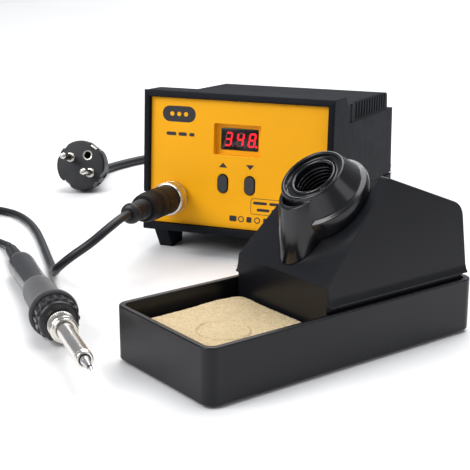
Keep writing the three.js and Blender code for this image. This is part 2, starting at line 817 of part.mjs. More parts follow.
// from the cord plug: forward, down in a curve to the left, along the table to the coil
const ironRoute = [
  [-53.5, -31.9, 40.2],
  [-53.6, -41, 40.3],
  [-55.8, -52.5, 37.4],
  [-62, -62, 31],
  [-73, -66.5, 22.5],
  [-84, -60.5, 13.8],
  [-93, -48, 7],
  [-102, -34, 3.4],
  [-112.5, -19, 2.7],
  [-124.5, -2, 2.7],
  [-138, 17, 2.7],
  [-153, 37, 2.7],
  [-170, 56, 2.7],
  [-189, 70.5, 2.7],
  [-211, 76.4, 2.7],
];

// from the coil back to the iron's strain relief
const ironTail = [
  [-216, 4.2, 2.7],
  [-201, 4.8, 2.7],
  [-187, 6.8, 2.7],
  [-174, 8.2, 2.7],
  [-163, 5.9, 2.7],
  [-155, 1.2, 3],
  [-148.6, -5.3, 4.6],
  [-142.6, -12.7, 5.7],
];

// from the gland behind the unit down to the table and on to the coil
const mainsRoute = [
  [21, 224.9, 11],
  [21, 232, 9.9],
  [21, 241, 6.8],
  [21, 250, 4.2],
  [21, 256.5, 3.5],
];

// from the coil round to the boot of the mains plug
const mainsTail = [
  [-40, 327.7, 3.5],
  [-63, 328.4, 3.5],
  [-90, 325, 3.5],
  [-117, 316, 3.5],
  [-142, 300.5, 3.5],
  [-163, 279, 3.5],
  [-178, 253, 3.5],
  [-186.4, 228, 3.5],
  [-188.5, 210.2, 4],
];

// outer shape of a coil: a ring as wide as three cords and as high as two
function coilSolid({ at, r }, diameter) {
  const [inner, outer] = [r - 1.55 * diameter, r + 1.6 * diameter];
  const top = 1.95 * diameter;
  const ring = turnedZ([[inner, 0], [outer, 0], [outer, top], [inner, top], [inner, 0]], 36);
  return ring.translate(at[0], at[1], 0);
}

// a strap over the bundle of turns, at an angle round the coil
function coilTie({ at, r }, diameter, angle) {
  const [inner, outer] = [r - 1.55 * diameter, r + 1.6 * diameter];
  const top = 1.95 * diameter;
  const strap = cut(
    block([inner - 1.8, -5, 0], [outer + 1.6, 5, top + 1.4]),
    block([inner - 0.9, -6, -1], [outer + 0.7, 6, top + 0.4]),
  );
  return strap.rotateZ(angle).translate(at[0], at[1], 0);
}

add(cords, 'iron_cord', tube(ironRoute, IRON_CORD_D, 24, 8), rubber());
add(cords, 'iron_cord_coil', coilSolid(IRON_COIL, IRON_CORD_D), rubber());
add(cords, 'iron_cord_tie', coilTie(IRON_COIL, IRON_CORD_D, Math.PI * 0.9), rubber());
add(cords, 'iron_cord_tail', tube(ironTail, IRON_CORD_D, 10, 8), rubber());
add(cords, 'mains_cord', tube(mainsRoute, MAINS_D, 5, 10), rubber());
add(cords, 'mains_cord_coil', coilSolid(MAINS_COIL, MAINS_D), rubber());
add(cords, 'mains_cord_tie', coilTie(MAINS_COIL, MAINS_D, -Math.PI / 2), rubber());
add(cords, 'mains_cord_tail', tube(mainsTail, MAINS_D, 14, 10), rubber());

// ---------------------------------------------------------------- mains plug
const mainsPlug = new THREE.Group();
mainsPlug.position.set(...PLUG_AT);
mainsPlug.rotation.order = 'ZYX';
mainsPlug.rotation.set(PLUG_ROLL, PLUG_DIP, PLUG_TURN);

const clipSlot = (side) => {
  const [a, b] = [side * (PLUG_FACE_R - 2.4), side * (PLUG_FACE_R + 1)];
  return block([-1, -3.4, Math.min(a, b)], [15, 3.4, Math.max(a, b)]);
};
const plugBody = cut(
  turnedX([
    [0, 0],
    [0, PLUG_FACE_R - 1],
    [1, PLUG_FACE_R],
    [12, PLUG_FACE_R],
    [19, 14],
    [27, 10.5],
    [PLUG_BODY, 8.6],
    [PLUG_BODY, 0],
  ], 32),
  clipSlot(1),
  clipSlot(-1),
  turnedX([[-1, 0], [-1, 2.7], [16, 2.7], [16, 0]], 12).translate(0, 0, 9.5),
);
add(mainsPlug, 'mains_plug_body', plugBody, rubber());
const plugBoot = turnedX([
  [PLUG_BODY + GAP, 0],
  [PLUG_BODY + GAP, 6.6],
  [PLUG_BOOT - 2, 4.4],
  [PLUG_BOOT, 3.9],
  [PLUG_BOOT, 0],
], 16);
add(mainsPlug, 'mains_plug_boot', plugBoot, rubber());
for (const [name, side] of [['left', -1], ['right', 1]]) {
  const pin = turnedX([[-19, 0], [-19, 1.4], [-18, 2.4], [-GAP, 2.4], [-GAP, 0]], 14);
  add(mainsPlug, `plug_pin_${name}`, pin.translate(0, side * 9.5, 0), nickel());
}
for (const [name, side] of [['top', 1], ['bottom', -1]]) {
  const [a, b] = [side * (PLUG_FACE_R - 2.1), side * (PLUG_FACE_R - 1.1)];
  const clip = block([0.4, -2.6, Math.min(a, b)], [14.6, 2.6, Math.max(a, b)]);
  add(mainsPlug, `earth_clip_${name}`, clip, nickel());
}

const station = new THREE.Group();
station.add(unit, iron, stand, cords, mainsPlug);
station.position.set(...MIDDLE);
export default station;
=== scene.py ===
"""Soldering iron station: control unit, iron on its lead, stand with a sponge, mains lead.
Shapes are in millimetres in the local frame of their group. Each group's frame takes them to metres in the
shared frame."""

import math

import bmesh
import bpy
from mathutils import Matrix, Vector, noise


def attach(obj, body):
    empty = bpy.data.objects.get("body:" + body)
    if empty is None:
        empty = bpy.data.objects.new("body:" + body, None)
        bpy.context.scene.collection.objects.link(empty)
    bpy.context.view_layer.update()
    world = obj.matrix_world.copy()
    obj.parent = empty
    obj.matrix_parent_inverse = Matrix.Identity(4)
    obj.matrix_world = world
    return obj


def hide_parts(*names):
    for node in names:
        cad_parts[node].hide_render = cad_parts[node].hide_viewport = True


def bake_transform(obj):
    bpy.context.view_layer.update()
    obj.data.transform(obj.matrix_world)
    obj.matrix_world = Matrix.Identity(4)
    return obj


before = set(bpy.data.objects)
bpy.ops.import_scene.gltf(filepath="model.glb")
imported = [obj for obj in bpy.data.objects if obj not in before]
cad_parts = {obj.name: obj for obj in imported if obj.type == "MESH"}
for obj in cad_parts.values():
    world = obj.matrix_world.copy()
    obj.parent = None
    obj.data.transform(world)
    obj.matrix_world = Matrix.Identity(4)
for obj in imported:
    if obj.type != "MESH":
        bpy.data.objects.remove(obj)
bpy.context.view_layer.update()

# ------------------------------------------------------------------ frames
MM = Matrix.Scale(0.001, 4)
MIDDLE = Matrix.Translation((0.0021, 0.0007, 0))


def placed(at, *turns):
    """The frame of a group: its origin in millimetres, then its turns in order."""
    m = MIDDLE @ Matrix.Translation(Vector(at) * 0.001)
    for degrees, axis in turns:
        m = m @ Matrix.Rotation(math.radians(degrees), 4, axis)
    return m @ MM


TABLE = placed((0, 0, 0))
UNIT = placed((-13, 29, 14.1), (-4.4, "X"))
STAND = placed((53, -182, 0), (57, "Z"))
IRON = placed((5, -195, 17.2), (129, "Z"), (2.8, "Y"))
PLUG = placed((-178, 150, 21), (100, "Z"), (15.7, "Y"), (35, "X"))
SOCKET = UNIT @ Matrix.Translation((-40.5, 0, 21.3))
GLAND = UNIT @ Matrix.Translation((34, 0, 12))

# ------------------------------------------------------------------ camera
AZIMUTH, ELEVATION, DISTANCE = math.radians(20), math.radians(16), 0.655
TARGET = Vector((0.0085, -0.020, 0.031))
back = Vector((
    math.sin(AZIMUTH) * math.cos(ELEVATION),
    -math.cos(AZIMUTH) * math.cos(ELEVATION),
    math.sin(ELEVATION),
))
camera = bpy.data.objects.new("camera", bpy.data.cameras.new("camera"))
camera.data.lens = 90
camera.location = TARGET + back * DISTANCE
camera.rotation_euler = (-back).to_track_quat("-Z", "Y").to_euler()
camera.data.clip_start = 0.01
bpy.context.scene.collection.objects.link(camera)
bpy.context.scene.camera = camera


# ------------------------------------------------------------------ materials
class Nodes:
    """A Principled material whose colour, roughness and bump come from textures in the shared frame."""

    def __init__(self, name, metallic=0.0, **constants):
        self.material = bpy.data.materials.new(name)
        self.material.use_nodes = True
        self.tree = self.material.node_tree
        self.shader = self.tree.nodes["Principled BSDF"]
        self.shader.inputs["Metallic"].default_value = metallic
        for socket, value in constants.items():
            self.shader.inputs[socket.replace("_", " ")].default_value = value
        self.place = self.tree.nodes.new("ShaderNodeTexCoord").outputs["Object"]

    def link(self, a, b):
        self.tree.links.new(a, b)

    def aligned(self, turn, stretch):
        """The shared frame turned by the given degrees, then stretched."""
        m = self.tree.nodes.new("ShaderNodeMapping")
        m.vector_type = "TEXTURE"
        m.inputs["Rotation"].default_value = [math.radians(x) for x in turn]
        m.inputs["Scale"].default_value = stretch
        self.link(self.place, m.inputs["Vector"])
        return m.outputs["Vector"]

    def noise(self, size, detail=4.0, rough=0.55, place=None):
        n = self.tree.nodes.new("ShaderNodeTexNoise")
        n.inputs["Scale"].default_value = 1 / size
        n.inputs["Detail"].default_value = detail
        n.inputs["Roughness"].default_value = rough
        self.link(place or self.place, n.inputs["Vector"])
        return n.outputs["Fac"]

    def cells(self, size, place=None):
        n = self.tree.nodes.new("ShaderNodeTexVoronoi")
        n.inputs["Scale"].default_value = 1 / size
        self.link(place or self.place, n.inputs["Vector"])
        return n.outputs["Distance"]

    def ramp(self, value, *stops):
        r = self.tree.nodes.new("ShaderNodeValToRGB")
        while len(r.color_ramp.elements) < len(stops):
            r.color_ramp.elements.new(0.5)
        for element, (at, colour) in zip(r.color_ramp.elements, stops):
            element.position = at
            element.color = (*colour, 1) if len(colour) == 3 else colour
        self.link(value, r.inputs["Fac"])
        return r.outputs["Color"]

    def spread(self, value, low, high, start=0.3, end=0.7):
        r = self.tree.nodes.new("ShaderNodeMapRange")
        for socket, v in zip(("From Min", "From Max", "To Min", "To Max"), (start, end, low, high)):
            r.inputs[socket].default_value = v
        self.link(value, r.inputs["Value"])
        return r.outputs["Result"]

    def colour(self, output):
        self.link(output, self.shader.inputs["Base Color"])

    def rough(self, output):
        self.link(output, self.shader.inputs["Roughness"])

    def bump(self, height, depth, strength=1.0):
        b = self.tree.nodes.new("ShaderNodeBump")
        b.inputs["Strength"].default_value = strength
        b.inputs["Distance"].default_value = depth
        self.link(height, b.inputs["Height"])
        last = self.shader.inputs["Normal"]
        if last.is_linked:
            self.link(last.links[0].from_socket, b.inputs["Normal"])
        self.link(b.outputs["Normal"], last)


def shade(colour, by):
    return tuple(c * by for c in colour)


def plastic(name, colour, rough, vary=0.08, grain=0.0006, depth=0.00003, patch=0.03, **constants):
    n = Nodes(name, **constants)
    cloud = n.noise(patch, 5)
    n.colour(n.ramp(cloud, (0.3, shade(colour, 1 - vary)), (0.72, shade(colour, 1 + vary))))
    n.rough(n.spread(n.noise(patch * 0.4, 5), rough - 0.03, rough + 0.04))
    n.bump(n.noise(grain, 2), depth)
    return n.material


def metal(name, colour, rough, turn=(0, 0, 0), stretch=(1, 1, 1), depth=0.000006, **constants):
    n = Nodes(name, metallic=1.0, **constants)
    lines = n.noise(0.0009, 6, 0.65, n.aligned(turn, stretch))
    n.colour(n.ramp(n.noise(0.012, 5), (0.3, shade(colour, 0.9)), (0.7, shade(colour, 1.04))))
    n.rough(n.spread(lines, rough * 0.75, rough * 1.35, 0.35, 0.65))
    n.bump(lines, depth)
    return n.material


IRON_ANGLES = (0, 2.8, 129)
case_black = plastic("case_black", (0.0105, 0.0115, 0.0148), 0.62, grain=0.0007, depth=0.00002,
                     Specular_IOR_Level=0.05)
stand_black = plastic("stand_black", (0.005, 0.0053, 0.0075), 0.32, grain=0.0008, depth=0.000012,
                      Specular_IOR_Level=0.25, Coat_Weight=0.08, Coat_Roughness=0.14)
gloss_black = plastic("gloss_black", (0.004, 0.0042, 0.0056), 0.2, depth=0.000006,
                      Specular_IOR_Level=0.4, Coat_Weight=0.2, Coat_Roughness=0.1)
plug_black = plastic("plug_black", (0.006, 0.0062, 0.008), 0.5, depth=0.000006, Specular_IOR_Level=0.14)
handle_black = plastic("handle_black", (0.012, 0.012, 0.014), 0.24, depth=0.00001)
key_grey = plastic("key_grey", (0.026, 0.027, 0.031), 0.42, grain=0.0004, depth=0.00003)
ink = plastic("ink", (0.010, 0.010, 0.014), 0.5, grain=0.0003, depth=0.00001)
rubber = plastic("rubber_black", (0.0075, 0.008, 0.0105), 0.42, vary=0.2, grain=0.0004, depth=0.00002,
                 Specular_IOR_Level=0.4)
strap = plastic("strap_black", (0.016, 0.016, 0.018), 0.8, grain=0.0005, depth=0.0002, Sheen_Weight=0.4)
board_green = plastic("board_green", (0.02, 0.12, 0.05), 0.4)
winding = plastic("copper_winding", (0.42, 0.15, 0.045), 0.45, grain=0.0009, depth=0.0002)
ceramic = plastic("ceramic_white", (0.78, 0.75, 0.69), 0.5, vary=0.06)
smoked = plastic("display_window", (0.004, 0.0015, 0.002), 0.16, vary=0.3, depth=0.000004)
yellow = plastic("panel_yellow", (0.88, 0.395, 0.003), 0.42, vary=0.03, grain=0.0005, depth=0.000015, patch=0.05,
                 Specular_IOR_Level=0.2)

nickel = metal("nickel", (0.70, 0.67, 0.62), 0.2)
steel = metal("steel", (0.74, 0.71, 0.67), 0.2, IRON_ANGLES, (12, 0.5, 0.5))
dark_steel = metal("dark_steel", (0.16, 0.16, 0.17), 0.4, (0, 0, 0), (1, 20, 1))


def tip_material():
    """Plated cone: bright tinned point, a dark flux ring behind it, light heat tint further up."""
    n = Nodes("tip_plating", metallic=1.0)
    along = n.tree.nodes.new("ShaderNodeSeparateXYZ")
    m = n.tree.nodes.new("ShaderNodeMapping")
    m.vector_type = "TEXTURE"
    m.inputs["Location"].default_value = IRON.to_translation()
    m.inputs["Rotation"].default_value = [math.radians(x) for x in IRON_ANGLES]
    m.inputs["Scale"].default_value = (0.02, 0.02, 0.02)
    n.link(n.place, m.inputs["Vector"])
    n.link(m.outputs["Vector"], along.inputs["Vector"])
    wobble = n.tree.nodes.new("ShaderNodeMath")
    wobble.operation = "MULTIPLY_ADD"
    wobble.inputs[1].default_value = 0.06
    n.link(n.noise(0.0012, 4), wobble.inputs[0])
    n.link(along.outputs["X"], wobble.inputs[2])
    at = wobble.outputs["Value"]
    n.colour(n.ramp(at, (0.0, (0.86, 0.85, 0.84)), (0.20, (0.80, 0.79, 0.78)), (0.235, (0.07, 0.06, 0.055)),
                    (0.28, (0.10, 0.085, 0.08)), (0.33, (0.52, 0.50, 0.52)), (0.8, (0.60, 0.585, 0.60))))
    n.rough(n.spread(n.noise(0.0008, 5), 0.2, 0.42))
    n.bump(n.noise(0.0007, 4), 0.00004)
    return n.material


def foam_material():
    """Soft moulded foam: fine open pores with painted shade darkening them inside, and a light sheen."""
    n = Nodes("foam_black", Sheen_Weight=0.35, Sheen_Roughness=0.4)
    pores = n.cells(0.0007)
    # painted shade: the foam is darker towards the middle of each pore
    n.colour(n.ramp(pores, (0.0, (0.006, 0.006, 0.0075)), (0.6, (0.014, 0.0145, 0.018))))
    n.rough(n.spread(n.noise(0.006, 4), 0.62, 0.8))
    n.bump(pores, 0.00012, 0.8)
    return n.material


def sponge_material():
    """Cellulose sponge: pores of two sizes with painted shade darkening them inside, and the crust between them
    left lighter.
    """
    n = Nodes("sponge_tan", Sheen_Weight=0.15)
    bent = n.tree.nodes.new("ShaderNodeVectorMath")
    bent.operation = "MULTIPLY_ADD"
    noise_vector = n.tree.nodes.new("ShaderNodeTexNoise")
    noise_vector.inputs["Scale"].default_value = 700
    n.link(n.place, noise_vector.inputs["Vector"])
    n.link(noise_vector.outputs["Color"], bent.inputs[0])
    bent.inputs[1].default_value = (0.0012, 0.0012, 0.0012)
    n.link(n.place, bent.inputs[2])
    small = n.cells(0.0011, bent.outputs["Vector"])
    large = n.cells(0.0042, bent.outputs["Vector"])
    n.bump(small, 0.0004, 0.7)
    n.bump(large, 0.0007, 0.6)
    blend = n.tree.nodes.new("ShaderNodeMix")
    blend.data_type = "RGBA"
    blend.blend_type = "MULTIPLY"
    blend.inputs["Factor"].default_value = 0.55
    # painted shade: each small pore is darker towards its middle
    pores = n.ramp(small, (0.0, (0.25, 0.165, 0.07)), (0.28, (0.48, 0.36, 0.19)), (0.75, (0.54, 0.425, 0.25)))
    # painted shade: each large hollow is darker towards its middle
    shaded_hollows = n.ramp(large, (0.0, (0.6, 0.52, 0.42)), (0.2, (0.93, 0.9, 0.85)), (0.6, (1, 1, 1)))
    n.link(pores, blend.inputs["A"])
    n.link(shaded_hollows, blend.inputs["B"])
    n.colour(blend.outputs["Result"])
    n.rough(n.spread(n.noise(0.01), 0.82, 0.98))
    return n.material


def lit(name, colour, strength):
    n = Nodes(name, Emission_Strength=strength)
    glow = n.ramp(n.noise(0.0015, 3), (0.3, shade(colour, 0.86)), (0.7, colour))
    n.link(glow, n.shader.inputs["Emission Color"])
    n.colour(n.ramp(n.noise(0.003), (0.3, shade(colour, 0.2)), (0.7, shade(colour, 0.3))))
    n.rough(n.spread(n.noise(0.002), 0.3, 0.4))
    return n.material


tip_plating, foam_black, sponge_tan = tip_material(), foam_material(), sponge_material()
segment_on = lit("segment_on", (1.0, 0.002, 0.012), 2.4)
# the unlit segments carry a painted glow: a faint dark red emission
segment_off_glow = lit("segment_off_glow", (0.16, 0.02, 0.02), 0.5)


# ------------------------------------------------------------------ shapes
def finish_piece(name, bm, place, body, material, stands_for=(), sharp=32):
    """The mesh in its frame, smooth except at its sharp edges, riding on a body."""
    bm.transform(place)
    bmesh.ops.recalc_face_normals(bm, faces=bm.faces)
    for f in bm.faces:
        f.smooth = True
    for e in bm.edges:
        e.smooth = len(e.link_faces) == 2 and e.calc_face_angle(0) < math.radians(sharp)
    mesh = bpy.data.meshes.new(name)
    bm.to_mesh(mesh)
    bm.free()
    mesh.materials.append(material)
    obj = bpy.data.objects.new(name, mesh)
    bpy.context.scene.collection.objects.link(obj)
    if body:
        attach(obj, body)
    if stands_for:
        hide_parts(*stands_for)
    return obj


def rounded(points, radius, steps=4, closed=False):
    """The outline with its corners turned into short curves."""
    out, count = [], len(points)
    for i, p in enumerate(points):
        if not closed and i in (0, count - 1):
            out.append(tuple(p))
            continue
        a, b, c = Vector(points[i - 1]), Vector(p), Vector(points[(i + 1) % count])
        reach = min(radius, 0.45 * (b - a).length, 0.45 * (c - b).length)
        if reach < 1e-6:
            out.append(tuple(p))
            continue
        start, end = b + (a - b).normalized() * reach, b + (c - b).normalized() * reach
        for k in range(steps + 1):
            t = k / steps
            out.append(tuple(start * (1 - t) ** 2 + b * 2 * t * (1 - t) + end * t * t))
    return out


def rect(w, h, r, steps=6, at=(0, 0)):
    """An oblong with round corners."""
    points = []
    for cx, cy, turn in ((1, -1, -90), (1, 1, 0), (-1, 1, 90), (-1, -1, 180)):
        for k in range(steps + 1):
            a = math.radians(turn + 90 * k / steps)
            points.append((
                at[0] + cx * (w / 2 - r) + r * math.cos(a),
                at[1] + cy * (h / 2 - r) + r * math.sin(a),
            ))
    return points


def circle(r, steps=32, at=(0, 0)):
    angles = [2 * math.pi * k / steps for k in range(steps)]
    return [(at[0] + r * math.cos(a), at[1] + r * math.sin(a)) for a in angles]


def along(u, v, w, axis):
    """A point at u, v across an axis and w along it."""
    return {"X": (w, u, v), "Y": (u, w, v), "Z": (u, v, w)}[axis]


def prism(bm, outline, lo, hi, axis="Z", rim=0.0, steps=3):
    """An outline pushed along an axis; rim rounds the edges of its two ends."""
    low = [bm.verts.new(along(u, v, lo, axis)) for u, v in outline]
    high = [bm.verts.new(along(u, v, hi, axis)) for u, v in outline]
    ends = [bm.faces.new(low), bm.faces.new(high)]
    for i in range(len(outline)):
        j = (i + 1) % len(outline)
        bm.faces.new((low[i], low[j], high[j], high[i]))
    if rim:
        edges = list({e for f in ends for e in f.edges})
        bmesh.ops.bevel(bm, geom=edges, offset=rim, segments=steps, profile=0.5, affect="EDGES")
    return bm


def loft(bm, rings, close=True):
    """Faces between rings of the same number of points, with both ends filled."""
    rows = [[bm.verts.new(p) for p in ring] for ring in rings]
    for a, b in zip(rows, rows[1:]):
        for i in range(len(a)):
            j = (i + 1) % len(a)
            bm.faces.new((a[i], a[j], b[j], b[i]))
    if close:
        bm.faces.new(rows[0])
        bm.faces.new(rows[-1])
    return bm


def turned(points, axis="X", steps=72, shape=None):
    """A turned piece; each point is (along the axis, radius). shape(angle, along, radius) may change a radius."""
    bm = bmesh.new()
    closed = points[0] == points[-1] and points[0][1] > 0
    rows = []
    for a, r in points[:-1] if closed else points:
        if r < 1e-6:
            rows.append([bm.verts.new(along(0, 0, a, axis))])
            continue
        row = []
        for k in range(steps):
            t = 2 * math.pi * k / steps
            q = shape(t, a, r) if shape else r
            row.append(bm.verts.new(along(q * math.cos(t), q * math.sin(t), a, axis)))
        rows.append(row)
    for a, b in zip(rows, rows[1:] + rows[:1] if closed else rows[1:]):
        for i in range(steps):
            j = (i + 1) % steps
            first = (a[i], a[j]) if len(a) > 1 else (a[0],)
            second = (b[j], b[i]) if len(b) > 1 else (b[0],)
            if len(first) + len(second) > 2:
                bm.faces.new(first + second)
    return bm


def fine(points, step):
    """The same profile with long runs split, so that a shape can be pressed into them."""
    out = [points[0]]
    for a, b in zip(points, points[1:]):
        n = max(1, math.ceil(math.dist(a, b) / step))
        out += [(a[0] + (b[0] - a[0]) * k / n, a[1] + (b[1] - a[1]) * k / n) for k in range(1, n + 1)]
    return out


def combined(base, *steps):
    """base joined with, cut by or limited to other shapes, in order; each step is (mode, shape)."""
    objs = []
    for bm in [base, *(tool for _, tool in steps)]:
        bmesh.ops.recalc_face_normals(bm, faces=bm.faces)
        mesh = bpy.data.meshes.new("shape")
        bm.to_mesh(mesh)
        bm.free()
        objs.append(bpy.data.objects.new("shape", mesh))
        bpy.context.scene.collection.objects.link(objs[-1])
    for (mode, _), tool in zip(steps, objs[1:]):
        m = objs[0].modifiers.new("step", "BOOLEAN")
        m.operation, m.object, m.solver = mode, tool, "EXACT"
    bpy.context.view_layer.update()
    out = bmesh.new()
    made = bpy.data.meshes.new_from_object(objs[0].evaluated_get(bpy.context.evaluated_depsgraph_get()))
    out.from_mesh(made)
    for o in objs:
        bpy.data.objects.remove(o)
    bmesh.ops.remove_doubles(out, verts=out.verts, dist=1e-4)
    bmesh.ops.dissolve_degenerate(out, edges=out.edges, dist=1e-4)
    return out


def round_edges(bm, width, steps=3, sharp=28):
    """Rounds every edge sharper than the given angle."""
    bmesh.ops.connect_verts_concave(bm, faces=bm.faces)
    edges = [e for e in bm.edges if len(e.link_faces) == 2 and e.calc_face_angle(0) > math.radians(sharp)]
    bmesh.ops.bevel(bm, geom=edges, offset=width, segments=steps, profile=0.5, affect="EDGES")
    return bm


def softened(node, name, material, width, body, big=None, steps=3, also=()):
    """A node's solid with its edges rounded; big is (test, width) for the edges that are rounder."""
    bm = bmesh.new()
    bm.from_mesh(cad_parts[node].data)
    bmesh.ops.remove_doubles(bm, verts=bm.verts, dist=2e-6)
    bmesh.ops.dissolve_limit(bm, angle_limit=math.radians(0.6), verts=bm.verts, edges=bm.edges)
    bmesh.ops.connect_verts_concave(bm, faces=bm.faces)
    if big:
        test, wide = big
        chosen = [e for e in bm.edges if e.calc_face_angle(0) > 0.5 and all(test(v.co) for v in e.verts)]
        bmesh.ops.bevel(bm, geom=chosen, offset=wide * 0.001, segments=6, profile=0.5, affect="EDGES")
    edges = [e for e in bm.edges if e.calc_face_angle(0) > math.radians(28) and e.calc_length() > 0.0004]
    bmesh.ops.bevel(bm, geom=edges, offset=width * 0.001, segments=steps, profile=0.5, affect="EDGES")
    obj = finish_piece(name, bm, Matrix.Identity(4), body, material, (node, *also))
    obj.modifiers.new("even", "WEIGHTED_NORMAL").keep_sharp = True
    return obj


def catmull(points, gap):
    """A smooth curve through the points, about gap apart."""
    p = [Vector(x) for x in points]
    p = [p[0] * 2 - p[1], *p, p[-1] * 2 - p[-2]]
    out = []
    for a, b, c, d in zip(p, p[1:], p[2:], p[3:]):
        t1 = math.sqrt((b - a).length)
        t2 = t1 + math.sqrt((c - b).length)
        t3 = t2 + math.sqrt((d - c).length)
        n = max(2, round((c - b).length / gap))
        for k in range(n):
            t = t1 + (t2 - t1) * k / n
            a1 = a * ((t1 - t) / t1) + b * (t / t1)
            a2 = b * ((t2 - t) / (t2 - t1)) + c * ((t - t1) / (t2 - t1))
            a3 = c * ((t3 - t) / (t3 - t2)) + d * ((t - t2) / (t3 - t2))
            b1 = a1 * ((t2 - t) / t2) + a2 * (t / t2)
            b2 = a2 * ((t3 - t) / (t3 - t1)) + a3 * ((t - t1) / (t3 - t1))
            out.append(b1 * ((t2 - t) / (t2 - t1)) + b2 * ((t - t1) / (t2 - t1)))
    return [*out, p[-2]]


def sweep(path, radius, sides=16):
    """A tube along a path, closed at both ends."""
    bm = bmesh.new()
    tangents = [(path[min(i + 1, len(path) - 1)] - path[max(i - 1, 0)]).normalized() for i in range(len(path))]
    side = tangents[0].orthogonal().normalized()
    rings = []
    for p, t in zip(path, tangents):
        side = (side - t * side.dot(t)).normalized()
        up = t.cross(side)
        rings.append([p + (side * math.cos(a) + up * math.sin(a)) * radius
                      for a in (2 * math.pi * k / sides for k in range(sides))])
    return loft(bm, rings)


# ------------------------------------------------------------------ cords
IRON_D, MAINS_D = 5.0, 6.5
IRON_ROUTE = [
    (-53.5, -31.9, 40.2), (-53.6, -41, 40.3), (-55.8, -52.5, 37.4), (-62, -62, 31), (-73, -66.5, 22.5),
    (-84, -60.5, 13.8), (-93, -48, 7), (-102, -34, 3.4), (-112.5, -19, 2.7), (-124.5, -2, 2.7), (-138, 17, 2.7),
    (-153, 37, 2.7), (-170, 56, 2.7), (-189, 70.5, 2.7), (-211, 76.4, 2.7),
]
IRON_TAIL = [
    (-216, 4.2, 2.7), (-201, 4.8, 2.7), (-187, 6.8, 2.7), (-174, 8.2, 2.7), (-163, 5.9, 2.7), (-155, 1.2, 3),
    (-148.6, -5.3, 4.6), (-142.6, -12.7, 5.7),
]
MAINS_ROUTE = [(21, 224.9, 11), (21, 232, 9.9), (21, 241, 6.8), (21, 250, 4.2), (21, 256.5, 3.5)]
MAINS_TAIL = [
    (-40, 327.7, 3.5), (-63, 328.4, 3.5), (-90, 325, 3.5), (-117, 316, 3.5), (-142, 300.5, 3.5), (-163, 279, 3.5),
    (-178, 253, 3.5), (-186.4, 228, 3.5), (-188.5, 210.2, 4),
]
IRON_COIL = {"at": (-232, 42), "r": 29.2, "start": 90, "turns": 4.5, "slope": 1.096}
MAINS_COIL = {"at": (-21, 282), "r": 35.5, "start": 0, "turns": 4.25, "slope": 1.15}


def ease(t):
    t = min(1, max(0, t))
    return t * t * (3 - 2 * t)


def coil(at, r, start, turns, slope, d, low):
    """Two turns inwards side by side on the table, then turns outwards on top of them, and down again."""
    points = []
    per_turn = 24
    count = round(turns * per_turn)
    for k in range(count + 1):
        t = turns * k / count
        offset = 1.02 * d * (1 - t) if t <= 2 else -1.02 * d + slope * d * (t - 2)
        lift = 0.93 * d * ease((t - 2) / 0.25) * (1 - ease((t - turns + 0.5) / 0.5))
        a = math.radians(start) + 2 * math.pi * t
        points.append((at[0] + (r + offset) * math.cos(a), at[1] + (r + offset) * math.sin(a), low + lift))
    return points


def table_path(points, gap=1.6):
    return [TABLE @ p for p in catmull(points, gap)]


iron_turns = coil(**IRON_COIL, d=IRON_D, low=2.7)
iron_path = table_path([*IRON_ROUTE, *iron_turns])
tail_path = table_path([iron_turns[-1], *IRON_TAIL])
mains_path = table_path([*MAINS_ROUTE, *coil(**MAINS_COIL, d=MAINS_D, low=3.5), *MAINS_TAIL])
WORLD = Matrix.Identity(4)
iron_lead = finish_piece("iron_lead_cord", sweep(iron_path, IRON_D / 2000), WORLD, "iron_lead", rubber,
                         ("iron_cord", "iron_cord_coil"))
iron_tail = finish_piece("iron_lead_tail", sweep(tail_path, IRON_D / 2000), WORLD, None, rubber,
                         ("iron_cord_tail",))
mains_lead = finish_piece("mains_lead", sweep(mains_path, MAINS_D / 2000, 20), WORLD, "station", rubber,
                          ("mains_cord", "mains_cord_coil", "mains_cord_tail"))
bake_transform(iron_tail)


def tie(name, at, inner, outer, top, angle, node, body):
    """A strap that arches over the bundle of turns."""
    wall, half = 0.9, 5
    profile = rounded([(inner, 0.1), (inner, top), (outer, top), (outer, 0.1)], 2.4, 6)
    inside = rounded([(outer - wall, 0.1), (outer - wall, top - wall), (inner + wall, top - wall),
                      (inner + wall, 0.1)], 1.8, 6)
    bm = bmesh.new()
    prism(bm, [*profile, *inside], -half, half, "Y", 0.25, 2)
    place = TABLE @ Matrix.Translation((*at, 0)) @ Matrix.Rotation(math.radians(angle), 4, "Z")
    return finish_piece(name, bm, place, body, strap, (node,))


iron_r, mains_r = IRON_COIL["r"], MAINS_COIL["r"]
iron_strap = tie("iron_cord_strap", IRON_COIL["at"], iron_r - 1.6 * IRON_D - 0.9,
                 iron_r + 1.95 * IRON_D + 1.0, 11.3, 162, "iron_cord_tie", "iron_lead")
mains_strap = tie("mains_cord_strap", MAINS_COIL["at"], mains_r - 1.55 * MAINS_D - 1.4,
                  mains_r + 1.6 * MAINS_D + 1.2, 14.2, -90, "mains_cord_tie", "station")

# ------------------------------------------------------------------ mains plug and its strain reliefs
PLUG_FLAT = 17.2
PIN_SPREAD, EARTH_AT = 9.5, 9.2
plug_profile = rounded([(0, 0), (0, 17.6), (0.9, 18.4), (11.5, 18.4), (14.5, 17.2), (20, 13.2), (27, 10.4),
                        (34, 8.8), (34, 0)], 1.4, 5)


def plug_shape(t, a, r):
    """Flats on the plug's two sides, near its face."""
    across = abs(math.sin(t))
    if a < 13 and r > 12 and across > 0.9:
        return min(r, PLUG_FLAT / across)
    return r


notches = bmesh.new()
for side in (-1, 1):
    prism(notches, rect(7.2, 3.2, 0.8, 4, at=(0, side * 17.0)), -1, 15.5, "X")
    for key in (-1, 1):
        prism(notches, rect(3.4, 5, 1.0, 4, at=(side * 18.6, key * 4.6)), -1, 11.5, "X")
prism(notches, circle(2.6, 24, at=(0, EARTH_AT)), -1, 14, "X")
plug_solid = combined(turned(plug_profile, steps=96, shape=plug_shape), ("DIFFERENCE", notches))
plug_body = finish_piece("mains_plug_shell", plug_solid, PLUG, "station", rubber,
                         ("mains_plug_body",))


